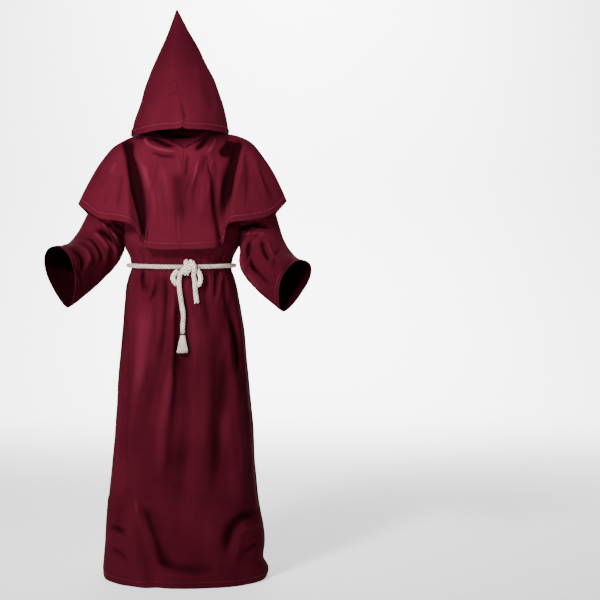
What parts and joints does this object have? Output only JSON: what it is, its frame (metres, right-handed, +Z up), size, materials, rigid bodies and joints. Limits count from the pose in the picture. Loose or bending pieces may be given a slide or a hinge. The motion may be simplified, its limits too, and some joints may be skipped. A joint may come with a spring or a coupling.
{
  "type": "monk robe",
  "caption": "Long hooded monk's robe with wide sleeves, a pointed hood on a shoulder cape and a knotted rope belt, shaped as worn with the forearms held out",
  "frame": {"origin": "middle of the neck opening, level with the tops of the wearer's shoulders, where the robe is carried", "axes": "X to the viewer's right across the shoulders, -Y out of the front of the robe, Z up"},
  "size_m": [0.7922, 0.5279, 1.7762],
  "materials": {
    "cloth": "plain-dyed maroon polyester twill with a slight sheen",
    "rope": "natural cream twisted cotton rope"
  },
  "bodies": {
    "root": {"hood_left": "cloth", "hood_right": "cloth", "cape_front_left": "cloth", "cape_front_right": "cloth", "cape_back": "cloth", "bodice_front": "cloth", "bodice_back": "cloth", "skirt_front": "cloth", "skirt_back": "cloth", "sleeve_left": "cloth", "sleeve_right": "cloth", "rope_waist": "rope", "rope_knot": "rope", "rope_loop_left": "rope", "rope_loop_right": "rope", "rope_tail_long": "rope", "rope_tail_short": "rope", "rope_tassel": "rope"}
  },
  "joints": []
}
